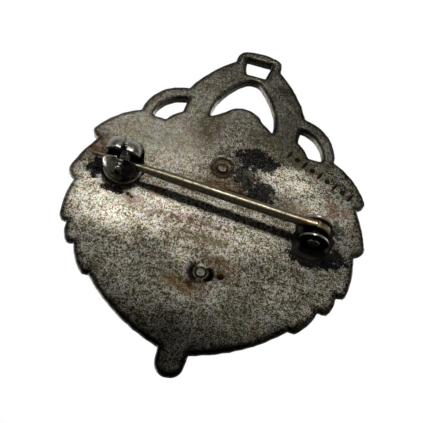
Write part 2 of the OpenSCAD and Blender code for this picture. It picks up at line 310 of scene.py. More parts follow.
# Foot x and z, tip x and z, and width of each leaf
LEAF_ROWS = [
    (10.2, 9.6, 16.7, 6.4, 4.2),
    (12.4, 6.9, 17.7, 0.4, 4.3),
    (12.9, 1.7, 16.9, -5.6, 4.1),
    (12.3, -2.4, 15.4, -8.2, 3.7),
    (10.9, -5.0, 12.3, -11.5, 3.9),
]
PLATE_T = 1.1
CROWN_T = 1.5
CROWN_FOOT_Z = 9.55
CROWN_HALF = 12.6
RIBBON_Z = -4.3
RIBBON_R = (7.7, 12.2)
RIBBON_SPREAD = 48
BAND_Z = -6
BAND_R = (15.4, 17.8)
BAND_SPREAD = 27
STONES = 5
STONE_STEP = 11
STONE_R = 0.6
LOZENGE_HALF = 0.75
LOZENGE_RISE = 0.28
BAND_RISE = 0.28
# Rows of pearls on the crown: centre x and z and radius of the row, its first angle and step in
# degrees, how many pearls there are, and the radius of one
PEARL_ROWS = [
    (-7.5, 9.2, 14.65, 61, 7.25, 5, 0.55),
    (6.9, 10.6, 4.5, 72, 18, 4, 0.48),
]
DEVICE_R = 8.8
DEVICE_Z = -0.85
DEVICE_FRONT = 2.0
ROPE_R = 8.2
ROPE_HALF = 0.6
BEAD_ROW_R = 7.25
BEAD_R = 0.3
BEADS = 56
# Count, length, half width, rise and turn of each row of petals, where a turn of 1 is one petal
PETAL_ROWS = [(8, 6.7, 1.5, 0.3, 0.5), (8, 5.6, 1.35, 0.48, 0.0)]
PETAL_START = 0.8
BOSS_BALL_R = 1.9
POSTS = {"upper": (0.65, 6.1), "lower": (-0.45, -7.8)}
POST_R = 0.58
ROVE_R = {"upper": 1.24, "lower": 0.98}
RECESS_R = 1.4
RECESS_DEPTH = {"upper": 0.27, "lower": 0.45}
PIT = (-2.75, -7.75)
CRUST = (-3.2, 8.2)

CATCH = np.array((11.9, 2.35, 2.5))
CATCH_TILT = radians(2)
FOOT_T = 0.3
HINGE = np.array((-11.85, 2.05, 0.0))
EYE_Z = 0.3

plate_rings = [both_halves(walk(OUTLINE_ROWS)), both_halves(walk(CRESCENT_ROWS)), TOP_HOLE]
loop_hole = walk(LOOP_HOLE_ROWS)
plate_rings += [loop_hole, turned_over(loop_hole)]


# ---- the struck plate

def leaf_relief(x, z, row):
    """Height of a crowned leaf with a midrib and slanting veins"""
    bx, bz, tx, tz, wide = row
    run = hypot(tx - bx, tz - bz)
    ux, uz = (tx - bx) / run, (tz - bz) / run
    along = (x - bx) * ux + (z - bz) * uz
    across = (z - bz) * ux - (x - bx) * uz
    share = np.clip(along / run, 0, 1)
    half = wide / 2 * np.sqrt(np.clip(1 - (2 * share - 1) ** 2, 0, 1)) + 1e-3
    side = np.abs(across) / half
    swell = 0.2 + 0.36 * np.sqrt(np.clip(1 - side ** 2, 0, 1))
    veins = 0.055 * np.cos((along - 0.75 * np.abs(across)) * 2 * pi / 1.05)
    rib = 0.16 * ridge(across, 0.2) * ease(run - along, 0.4, 1.6)
    height = swell + veins * ease(half - np.abs(across), 0.1, 0.5) * ease(np.abs(across), 0.2, 0.5) + rib
    height = height * (0.75 + 0.25 * share)
    return np.where((side < 1) & (along > 0) & (along < run), height, 0) * ease(1 - side, 0, 0.16)


def arc_part(x, z, centre_z, radii, direction, spread):
    """Height mask of part of a flat ring, its radius and its angle from the middle"""
    radius = np.hypot(x, z - centre_z)
    turn = np.arctan2(z - centre_z, x) - radians(direction)
    turn = (turn + pi) % (2 * pi) - pi
    across = ease(radius, radii[0], radii[0] + 0.25) * ease(-radius, -radii[1], 0.25 - radii[1])
    half = radians(spread)
    ends = ease(-np.abs(turn) * radius, -half * radius, 0.3 - half * radius)
    return across * ends, radius, turn


def pearl(x, z, cx, cz, r):
    """Height of a half sphere"""
    return np.sqrt(np.clip(r * r - (x - cx) ** 2 - (z - cz) ** 2, 0, None))


def raised(height, base, relief):
    """Height with a relief standing on a base where there is any relief"""
    return np.where(relief > 0, np.maximum(height, base + relief), height)


def front_height(x, z):
    """How far the front stands in front of the back plane"""
    wide = np.abs(x)
    crown = ease(z, CROWN_FOOT_Z, CROWN_FOOT_Z + 0.3) * ease(CROWN_HALF - wide, 0, 0.3)
    height = PLATE_T + (CROWN_T - PLATE_T) * crown
    height = height + 0.035 * ripple(x, z, 1.1, 11) * (1 - crown)
    leaves = 0
    for row in LEAF_ROWS:
        leaves = np.maximum(leaves, leaf_relief(wide, z, row))
    height = raised(height, PLATE_T, leaves)
    # Blank ribbon with a border along both edges
    mask, radius, turn = arc_part(x, z, RIBBON_Z, RIBBON_R, -90, RIBBON_SPREAD)
    border = ridge(radius - RIBBON_R[0] - 0.45, 0.16) + ridge(radius - RIBBON_R[1] + 0.45, 0.16)
    folds = 0.1 * np.cos(turn * 7.5)
    height = raised(height, PLATE_T, mask * (0.48 + folds + 0.12 * border))
    # Crown: band with beaded borders and stones, quilted cap, straps with pearls
    mask, radius, turn = arc_part(x, z, BAND_Z, BAND_R, 90, BAND_SPREAD)
    band_r = sum(BAND_R) / 2
    edge = np.abs((radius - band_r) / (BAND_R[1] - band_r)) - 0.8
    beads = 0.09 * np.cos(turn * radius * 2 * pi / 0.62) * ridge(edge, 0.13)
    height = raised(height, CROWN_T, mask * (BAND_RISE + 0.07 * ridge(edge, 0.16) + beads))
    for i in range(STONES):
        angle = radians(90 + STONE_STEP * (STONES // 2 - i))
        cx, cz = band_r * cos(angle), band_r * sin(angle) + BAND_Z
        if i % 2 == 0:
            height = raised(height, CROWN_T + 0.1, pearl(x, z, cx, cz, STONE_R))
        else:
            ux, uz = -sin(angle), cos(angle)
            along = np.abs((x - cx) * ux + (z - cz) * uz)
            across = np.abs((z - cz) * ux - (x - cx) * uz)
            lozenge = LOZENGE_HALF - along * LOZENGE_HALF - across
            height = raised(height, CROWN_T + BAND_RISE, np.clip(lozenge, 0, LOZENGE_RISE))
    quilt = np.abs(np.sin((x + z) * 2.6)) * np.abs(np.sin((x - z) * 2.6))
    inner = ease(z, 12.0, 12.4) * ease(14.6 - z - 0.35 * wide, 0, 0.5) * ease(3.4 - wide, 0, 0.5)
    height = height + 0.16 * quilt * inner
    for row_x, row_z, far, first, step, count, r in PEARL_ROWS:
        for i in range(count):
            angle = radians(first - step * i)
            cx, cz = row_x + far * cos(angle), row_z + far * sin(angle)
            height = raised(height, CROWN_T, pearl(wide, z, cx, cz, r))
    # Level seat for the round device
    seat = ease(np.hypot(x, z - DEVICE_Z), DEVICE_R + 0.1, DEVICE_R + 0.3)
    return PLATE_T * (1 - seat) + height * seat


def back_height(x, z):
    """Height of the back face over its own plane: dents, sunk rings, a pit and crust"""
    height = 0.02 * ripple(x, z, 7, 21) + 0.012 * ripple(x, z, 1.7, 22)
    # The face falls away a little towards the rim
    height = height - 0.0003 * np.maximum(np.hypot(x * 0.9, z + 1) - 5, 0) ** 2
    for where, (cx, cz) in POSTS.items():
        away = np.hypot(x - cx, z - cz) + 0.04 * ripple(x, z, 1.6, 23)
        height = height + 0.05 * ridge(away - 1.6, 0.15)
        sunk = RECESS_DEPTH[where] * (1 - ease(away, RECESS_R - 0.42, RECESS_R + 0.08))
        if where == "lower":
            # Closed up by hammering above and below, which leaves two curved pits
            level = (z - cz) / np.maximum(away, 0.2)
            sunk = sunk * (1 - 0.8 * ease(np.abs(level + 0.1), 0.55, 0.85))
        height = height - sunk
    height = height - 0.25 * (1 - ease(np.hypot(x - PIT[0], z - PIT[1]), 0.16, 0.36))
    # Hard black crust beside the upper post
    away = np.hypot((x - CRUST[0]) / 2.5, (z - CRUST[1]) / 1.1)
    crust = 1 - ease(away + 0.25 * ripple(x, z, 1.3, 24), 0.55, 1.1)
    return height + crust * (0.06 + 0.05 * ripple(x, z, 0.55, 25))


def plate_field(x, y, z):
    """The whole struck plate, with its openings and a hole for each post"""
    edge = ring_distance(x, z, plate_rings) + 0.03 * ripple(x, z, 1.3, 31) - 0.06
    shape = meet(edge, y - back_height(x, z), 0.5)
    shape = meet(shape, -y - front_height(x, z), 0.2)
    for cx, cz in POSTS.values():
        shape = np.maximum(shape, POST_R + 0.02 - np.hypot(x - cx, z - cz))
    return shape


def device_field(x, y, z):
    """Round device: rope rim, ring of beads, two rows of petals and a domed boss"""
    dz = z - DEVICE_Z
    radius = np.hypot(x, dz)
    turn = np.arctan2(dz, x)
    height = DEVICE_FRONT - 0.12 + 0.02 * ripple(x, z, 0.9, 41)
    lean = (radius - ROPE_R) / ROPE_HALF
    strand = np.abs(np.cos(turn * 40 + lean * 0.9))
    rope = np.sqrt(np.clip(1 - lean * lean, 0, 1)) * (0.42 + 0.18 * strand)
    height = np.maximum(height, DEVICE_FRONT - 0.02 + rope)
    step = 2 * pi / BEADS
    bead_turn = (turn / step - np.round(turn / step)) * step
    bead = BEAD_R ** 2 - (radius - BEAD_ROW_R) ** 2 - (bead_turn * BEAD_ROW_R) ** 2
    height = np.maximum(height, DEVICE_FRONT - 0.1 + np.sqrt(np.clip(bead, 0, None)))
    for count, long, wide, rise, shift in PETAL_ROWS:
        part = 2 * pi / count
        local = (turn / part - shift - np.round(turn / part - shift)) * part
        along = radius * np.cos(local)
        across = radius * np.sin(local)
        share = np.clip((along - PETAL_START) / (long - PETAL_START), 0, 1)
        half = wide * np.sin(pi * share ** 0.8) + 1e-3
        side = np.clip(np.abs(across) / half, 0, 1)
        cup = rise * (0.72 + 0.28 * side ** 2) * ease(1 - side, 0, 0.22)
        groove = 0.1 * ridge(across, 0.13) * ease(long - along, 0.5, 1.5)
        fine = 0.03 * np.cos(across * 9) * ease(1 - side, 0.1, 0.5)
        petal = np.where((along > PETAL_START) & (along < long), cup - groove + fine, 0)
        height = np.maximum(height, DEVICE_FRONT - 0.1 + petal)
    boss = np.sqrt(np.clip(BOSS_BALL_R ** 2 - radius * radius, 0, None)) - 1.0
    collar = 0.14 * ridge(radius - BOSS_BALL_R + 0.05, 0.2)
    height = np.maximum(height, DEVICE_FRONT + collar + np.maximum(boss, -0.3))
    body = meet(radius - DEVICE_R, -y - height, 0.12)
    return np.maximum(body, y + PLATE_T)


def post_field(cx, cz, seed, x, y, z):
    """Post with a worn, slightly domed head"""
    away = np.hypot(x - cx, z - cz)
    worn = 0.02 * ripple(x, z, 0.9, seed)
    top = 0.86 + 0.03 * ripple(x, z, 0.7, seed + 1) - 0.12 * away * away
    head = disc(away + worn, y + 0.9, POST_R - 0.01, top, 0.13)
    return np.maximum(head, -1.45 - y)


def rove_field(cx, cz, seed, middle, half, x, y, z):
    """Uneven washer round a post, down in its recess"""
    away = np.hypot(x - cx, z - cz) + 0.05 * ripple(x, z, 1.2, seed)
    lift = 0.07 * ripple(x, z, 2.4, seed + 1)
    ring = disc(np.abs(away - middle), y + 0.33 - lift - 0.12 * (away - middle), half, 0.16, 0.12)
    return np.maximum(ring, POST_R + 0.01 - np.hypot(x - cx, z - cz))


# ---- the catch

# Directions of x, y and z in the catch's fields: along the barrel, out of the back, and upward
catch_axes = np.array((
    (cos(CATCH_TILT), 0, sin(CATCH_TILT)), (0, 1, 0), (-sin(CATCH_TILT), 0, cos(CATCH_TILT))
))
BARREL_R = 2.25
BARREL_HALF = 2.3
BARREL_EDGE = 1.5
NECK_R = 1.95
BORE_R = 1.25
BASE_TOP = 0.52 - CATCH[1]
SLOT_HALF = 0.33
POCKET_R = 1.54
POCKET_HALF = 0.62
MOUTH_Z = -0.75
MOUTH_HALF = 0.45
RING_R = 1.79
RING_HALF = 0.26
HUB_R = 1.48
HUB_HALF = 0.56
GAP_TOP = 0.9
GAP_FOOT = -1.174
FINGER_LEAN = radians(62)
FINGER_ROOT = 1.45
FINGER_TIP = 2.5
FINGER_EDGE = 0.13
CATCH_FOOT_R = 2.34


def case_field(x, y, z):
    """Barrel with rounded ends on a short neck, with its bore, slot, pockets and mouth cut out"""
    radial = np.hypot(y, z)
    barrel = disc(radial, x, BARREL_R, BARREL_HALF, BARREL_EDGE)
    neck = disc(np.hypot(x, z), y + 2.0, NECK_R, 0.2, 0.05)
    body = join(barrel, neck, 0.35)
    body = np.maximum(body, FOOT_T - CATCH[1] - y)
    body = cut(body, radial - BORE_R, 0.12)
    slot = np.maximum(np.abs(x) - SLOT_HALF, BASE_TOP - y)
    body = cut(body, slot, 0.07)
    pocket = np.maximum(radial - POCKET_R, np.abs(x) - POCKET_HALF)
    body = cut(body, pocket, 0.05)
    mouth = np.maximum(np.abs(z - MOUTH_Z) - MOUTH_HALF, -y)
    body = cut(body, mouth, 0.12)
    dents = 0.012 * ripple(x + y, z - y, 0.8, 51)
    return body + dents


def rotor_field(x, y, z):
    """Split ring with a wider hub and a finger to turn it by"""
    radial = np.hypot(y, z)
    ring = disc(radial, x, RING_R, RING_HALF, 0.07)
    hub = disc(radial, x, HUB_R, HUB_HALF, 0.06)
    body = join(ring, hub, 0.05)
    body = cut(body, radial - BORE_R, 0.05)
    gap = meet(meet(-y, z - GAP_TOP, 0.02), GAP_FOOT - z, 0.02)
    body = cut(body, gap, 0.08)
    out = y * cos(FINGER_LEAN) - z * sin(FINGER_LEAN)
    side = y * sin(FINGER_LEAN) + z * cos(FINGER_LEAN)
    reach = np.maximum(np.maximum(out - FINGER_TIP, FINGER_ROOT - out), 0)
    thick = np.hypot(np.maximum(np.abs(side) - 0.1, 0), np.maximum(np.abs(x) - 0.12, 0))
    return join(body, np.hypot(thick, reach) - FINGER_EDGE, 0.12)


def solder_skirt(edge, x, y, z, overlap, wave, wave_size, lump, seed):
    """Ragged skirt of solder, where edge is the distance outside the foot that it overlaps"""
    spread = 0.34 + wave * ripple(x, z, wave_size, seed) + 0.05 * ripple(x, z, 0.45, seed + 1)
    skirt = (edge - spread * (1 - ease(y, 0.0, 0.26))) * 0.75
    lumps = lump * ripple(x, z + 2 * y, 0.6, seed + 2)
    return np.maximum(np.maximum(skirt, y - 0.19 - lumps), np.maximum(-overlap - edge, -0.12 - y))


def catch_foot_field(x, y, z):
    away = np.hypot(x - CATCH[0], z - CATCH[2])
    return disc(away + 0.02 * ripple(x, z, 1.5, 52), y - 0.1, CATCH_FOOT_R, 0.2, 0.1)


def catch_solder_field(x, y, z):
    edge = np.hypot(x - CATCH[0], z - CATCH[2]) - CATCH_FOOT_R + 0.04
    return solder_skirt(edge, x, y, z, 0.1, 0.16, 1.4, 0.05, 53)


# ---- the hinge and the pin

HINGE_FOOT_R = 2.09
HINGE_FOOT_HALF = 0.7
CHEEK_Z = {"lower": -1.2, "upper": 1.2}
CHEEK_R = 1.74
CHEEK_HALF = 0.2
STAND_HALF = 1.38
RIVET_R = 0.45
RIVET_HALF = 1.4
RIVET_HEAD_R = 0.74
STEM_RISE = radians(3.69)
STEM_DIP = radians(1.45)
STEM_R = 0.6
STRAIGHT_L = 17.6
TAPER_END = (27.05, 0.18)
STEM_L = 28.2
POINT_R = 0.03
EYE_R = 1.6
EYE_HALF = 0.485


def hinge_foot_edge(x, z):
    """Distance outside the hinge foot, which has round ends"""
    return np.hypot(x - HINGE[0], np.maximum(np.abs(z) - HINGE_FOOT_HALF, 0)) - HINGE_FOOT_R


def hinge_foot_field(x, y, z):
    edge = hinge_foot_edge(x, z) + 0.02 * ripple(x, z, 1.5, 61)
    return meet(edge, np.abs(y - 0.125) - 0.225, 0.1)


def hinge_solder_field(x, y, z):
    return solder_skirt(hinge_foot_edge(x, z) + 0.03, x, y, z, 0.12, 0.17, 1.3, 0.06, 62)


def cheek_field(middle, seed, x, y, z):
    """Upright round cheek on a straight stand, with the hole for the rivet"""
    radial = np.hypot(x - HINGE[0], y - HINGE[1])
    axial = z - middle + 0.015 * ripple(x, y, 1.5, seed)
    plate = disc(radial + 0.02 * ripple(x, y, 1.9, seed + 1), axial, CHEEK_R, CHEEK_HALF, 0.13)
    stand = np.maximum(np.abs(x - HINGE[0]) - STAND_HALF, np.abs(y - 0.65) - 0.45)
    body = join(plate, meet(stand, np.abs(axial) - CHEEK_HALF, 0.06), 0.25)
    body = cut(body, radial - RIVET_R - 0.01, 0.04)
    return np.maximum(body, FOOT_T - y)


def rivet_field(x, y, z):
    """Rivet with a flat worn head at each end"""
    radial = np.hypot(x - HINGE[0], y - HINGE[1])
    worn = 0.02 * ripple(x, y, 0.8, 66)
    shank = disc(radial, z, RIVET_R, RIVET_HALF, 0.05)
    heads = disc(radial + worn, np.abs(z) - 1.46, RIVET_HEAD_R, 0.1, 0.1)
    return join(shank, heads, 0.03)


# The stem's own directions: along the wire, across it and upright
STEM_START = np.array((HINGE[0], HINGE[1] + EYE_R - STEM_R, EYE_Z))
stem_x = np.array((cos(STEM_RISE) * cos(STEM_DIP), -cos(STEM_RISE) * sin(STEM_DIP), sin(STEM_RISE)))
stem_z = np.array((0.0, 0.0, 1.0)) - stem_x[2] * stem_x
stem_z = stem_z / np.linalg.norm(stem_z)
stem_axes = np.stack([stem_x, np.cross(stem_z, stem_x), stem_z])


def stem_field(s, a, b):
    """Wire that tapers to a point, flattened into a round eye at the hinge"""
    x, y, z = [start + s * u + a * v + b * w for start, (u, v, w) in zip(STEM_START, stem_axes.T)]
    wire = np.interp(s, (STRAIGHT_L, TAPER_END[0], STEM_L), (STEM_R, TAPER_END[1], POINT_R))
    wire = wire + 0.006 * ripple(s, a * 3, 2.6, 71)
    stem = np.maximum(np.hypot(a, b) - wire, np.maximum(-s, s - STEM_L))
    radial = np.hypot(x - HINGE[0], y - HINGE[1])
    worn = 0.03 * ripple(x, y, 1.1, 72)
    eye = disc(radial, z - EYE_Z, EYE_R - 0.01, EYE_HALF + worn * ease(radial, 0.9, 1.4), 0.42)
    body = join(stem, eye, 0.5)
    body = np.where(s < 0.1, np.maximum(body, radial - EYE_R), body)
    return cut(body, radial - RIVET_R - 0.04, 0.06)


# ---- looks

class Nodes:
    """A node tree built up step by step"""

    def __init__(self, owner):
        owner.use_nodes = True
        self.tree = owner.node_tree
        self.tree.nodes.clear()

    def feed(self, node, inputs):
        """Links each input of a node to another node, or sets its value"""
        for key, value in inputs.items():
            if isinstance(value, bpy.types.NodeSocket):
                self.tree.links.new(value, node.inputs[key])
            elif value is not None:
                node.inputs[key].default_value = value

    def add(self, kind, inputs, **settings):
        node = self.tree.nodes.new(kind)
        for key, value in settings.items():
            setattr(node, key, value)
        self.feed(node, inputs)
        return node

    def math(self, operation, a, b, clamp=False):
        return self.add("ShaderNodeMath", {0: a, 1: b}, operation=operation, use_clamp=clamp).outputs[0]

    def plus(self, first, *others):
        for other in others:
            first = self.math("ADD", first, other)
        return first

    def less(self, a, b, clamp=False):
        return self.math("SUBTRACT", a, b, clamp)

    def times(self, first, *others):
        for other in others:
            first = self.math("MULTIPLY", first, other)
        return first

    def most(self, a, b):
        return self.math("MAXIMUM", a, b)

    def axes(self, at):
        """The x, y and z of places"""
        return self.add("ShaderNodeSeparateXYZ", {0: at}).outputs

    def fit(self, value, low, high, to_low=0.0, to_high=1.0):
        """Maps low..high to to_low..to_high, smoothly and clamped"""
        inputs = {"Value": value, "From Min": low, "From Max": high, "To Min": to_low, "To Max": to_high}
        return self.add("ShaderNodeMapRange", inputs, interpolation_type="SMOOTHSTEP").outputs["Result"]


class Look(Nodes):
    """A material, with places measured in mm"""

    def __init__(self, name):
        self.material = bpy.data.materials.new(name)
        super().__init__(self.material)
        self.shader = self.add("ShaderNodeBsdfPrincipled", {}, distribution="MULTI_GGX")
        self.add("ShaderNodeOutputMaterial", {"Surface": self.shader.outputs["BSDF"]})
        coords = self.add("ShaderNodeTexCoord", {})
        self.place = self.vector("SCALE", coords.outputs["Object"], 1 / MM)

    def vector(self, operation, a, b):
        second = "Scale" if operation == "SCALE" else 1
        return self.add("ShaderNodeVectorMath", {0: a, second: b}, operation=operation).outputs["Vector"]

    def length(self, at, scale, shift):
        """How far places are from zero after a scale and a shift along each axis"""
        moved = self.add("ShaderNodeVectorMath", {0: at, 1: scale, 2: shift}, operation="MULTIPLY_ADD")
        node = self.add("ShaderNodeVectorMath", {0: moved.outputs["Vector"]}, operation="LENGTH")
        return node.outputs["Value"]

    def noise(self, size, detail=3.0, rough=0.55, warp=0.0, at=None, colour=False):
        """Cloudy pattern with features about size mm across"""
        at = self.place if at is None else at
        inputs = {"Vector": at, "Scale": 1 / size, "Detail": detail, "Roughness": rough, "Distortion": warp}
        return self.add("ShaderNodeTexNoise", inputs).outputs["Color" if colour else "Fac"]

    def grains(self, size):
        """A random value for each grain about size mm across"""
        return self.add("ShaderNodeTexVoronoi", {"Vector": self.place, "Scale": 1 / size}).outputs["Color"]

    def mix(self, share, a, b):
        a, b = [end if isinstance(end, bpy.types.NodeSocket) else (*end, 1) for end in (a, b)]
        return self.add("ShaderNodeMix", {0: share, 6: a, 7: b}, data_type="RGBA").outputs[2]

    def ramp(self, value, stops):
        node = self.add("ShaderNodeValToRGB", {"Fac": value})
        points = node.color_ramp.elements
        while len(points) < len(stops):
            points.new(0.5)
        for point, (where, colour) in zip(points, stops):
            point.position = where
            point.color = (*colour, 1)
        return node.outputs["Color"]

    def stretched(self, size, angle):
        """Places squeezed along each axis by the given sizes in mm, turned about Y"""
        turn = (0, radians(angle), 0)
        inputs = {"Vector": self.place, "Rotation": turn, "Scale": [1 / s for s in size]}
        return self.add("ShaderNodeMapping", inputs).outputs["Vector"]

    def patch(self, at, cx, cz, rx, rz, soft=0.6):
        """1 inside an oval on the badge, 0 outside it"""
        away = self.length(at, (1 / rx, 0, 1 / rz), (-cx / rx, 0, -cz / rz))
        return self.fit(away, 1 - soft, 1 + soft, 1.0, 0.0)

    def warped(self, size, amount):
        """Places pushed about at random by up to amount mm"""
        push = self.vector("SUBTRACT", self.noise(size, colour=True), (0.5, 0.5, 0.5))
        return self.vector("ADD", self.place, self.vector("SCALE", push, 2 * amount))

    def attribute(self, name):
        return self.add("ShaderNodeAttribute", {}, attribute_name=name).outputs["Fac"]

    def bump(self, height, depth, under=None):
        """Bumps of the given depth in mm"""
        inputs = {"Strength": 1.0, "Distance": depth * MM, "Height": height, "Normal": under}
        return self.add("ShaderNodeBump", inputs).outputs["Normal"]

    def finish(self, colour, rough, metal, normal=None):
        inputs = {"Base Color": colour, "Roughness": rough, "Metallic": metal, "Normal": normal}
        self.feed(self.shader, inputs)
        return self.material


# Each row is an oval on the back, x, z and half sizes in mm, with how strong it is
# The rubbed ovals are worn bright metal and also a painted highlight, the lamp's bright band beside the pin
RUBBED_AND_SHEEN = (
    (12.6, -2.0, 5.4, 3.4, 0.88),
    (6.4, -1.6, 5.8, 2.9, 0.72),
    (5.6, 4.4, 3.6, 2.4, 0.32),
    (1.6, -6.4, 2.2, 1.3, 0.22),
    (-8.2, -2.6, 2.8, 1.3, 0.2),
    (0.5, -10.8, 3.0, 1.8, 0.16),
    (-7.6, 6.6, 4.2, 1.8, 0.62),
    (-11.8, 3.4, 3.4, 2.6, 0.55),
    (0.8, -1.4, 8.0, 3.4, 0.42),
    (-4.5, -2.0, 4.0, 1.8, 0.34),
)
CALM = (10.5, 9.0, 8.0, 4.5)
CATCH_SIDE_SHINE = (11.5, 8.0, 7.0, 4.0)
CROWN_FOOT_SHINE = (2.0, 11.5, 9.0, 5.5)
DULL_STRAP = (-6.0, 15.5, 4.0, 6.0)
# Black ovals on the back: crust and soot by the upper post and beside the catch, painted shadow below the
# catch, painted deep shade round the hinge, and black in the pits by the lower post
SOOT_AND_SHADE = (
    (-3.2, 8.3, 2.9, 1.25, 0.985),
    (-2.4, 5.6, 1.5, 1.5, 0.8),
    (-4.6, 4.0, 1.6, 1.5, 0.9),
    (-2.2, 3.0, 2.0, 0.7, 0.5),
    (14.8, 2.0, 1.1, 1.8, 1.0),
    (12.2, -0.7, 2.3, 0.6, 1.0),
    (-14.3, -1.8, 1.9, 1.3, 1.0),
    (-12.0, -2.6, 3.0, 0.9, 1.0),
    (-12.6, 1.8, 2.6, 1.2, 0.8),
    (-1.55, -7.9, 0.5, 0.9, 0.95),
    (0.7, -7.7, 0.4, 0.8, 0.6),
    (-2.75, -7.75, 0.4, 0.4, 0.9),
)
# Ovals as above, with the colour of the stain: rust round the posts, then purple and brown patches
STAINS = (
    (1.3, -9.9, 2.3, 0.95, (0.080, 0.044, 0.007)),
    (0.2, -9.3, 1.5, 0.6, (0.034, 0.014, 0.004)),
    (-2.0, -6.0, 1.6, 0.9, (0.085, 0.045, 0.014)),
    (-2.6, -7.6, 0.9, 0.9, (0.058, 0.036, 0.012)),
    (0.2, 3.9, 2.9, 0.9, (0.085, 0.040, 0.014)),
    (-2.0, 3.2, 1.3, 0.8, (0.060, 0.024, 0.009)),
    (1.5, 5.6, 0.9, 0.7, (0.100, 0.050, 0.018)),
    (15.4, 4.2, 1.4, 2.0, (0.10, 0.05, 0.025)),
    (7.5, 0.8, 1.3, 0.7, (0.16, 0.07, 0.05)),
    (10.2, -1.2, 1.8, 1.0, (0.24, 0.13, 0.09)),
    (5.2, -2.2, 2.4, 0.7, (0.16, 0.08, 0.06)),
    (1.5, -1.6, 2.6, 0.7, (0.14, 0.075, 0.05)),
    (3.4, 11.0, 1.5, 2.4, (0.08, 0.062, 0.034)),
    (-13.6, 4.2, 1.4, 1.2, (0.16, 0.09, 0.06)),
    (-9.5, 3.2, 1.6, 0.8, (0.20, 0.12, 0.08)),
    (1.0, -3.6, 3.4, 0.8, (0.14, 0.10, 0.055)),
    (-8.0, 9.6, 2.6, 1.2, (0.07, 0.06, 0.03)),
    (-3.0, 11.5, 2.4, 1.4, (0.06, 0.052, 0.028)),
)
RING_MARK = (-0.5, 9.8)
RING_MARK_R = (0.4, 0.62)
PUNCH_MARKS = 9
PUNCH_START = (-1.9, 12.2)
PUNCH_STEP = 1.12
PUNCH_TURN = 23.9
# Half sizes of a punched bar and of a punched dot
PUNCH_SIZES = ((0.2, 0.6), (0.34, 0.34))
NEAR_BLACK = (0.012, 0.010, 0.008)


def punch_marks(look):
    """A faint ring, and a row of plain bars and dots near the edge"""
    inner, outer = [look.patch(look.place, *RING_MARK, r, r, 0.2) for r in RING_MARK_R]
    marks = look.times(look.less(outer, inner, True), 0.5)
    along_rim = look.stretched((1, 1, 1), PUNCH_TURN)
    for i in range(PUNCH_MARKS):
        wide, tall = PUNCH_SIZES[i % 2]
        at = PUNCH_START[0] - PUNCH_STEP * i
        marks = look.most(marks, look.patch(along_rim, at, PUNCH_START[1], wide, tall, 0.25))
    return marks


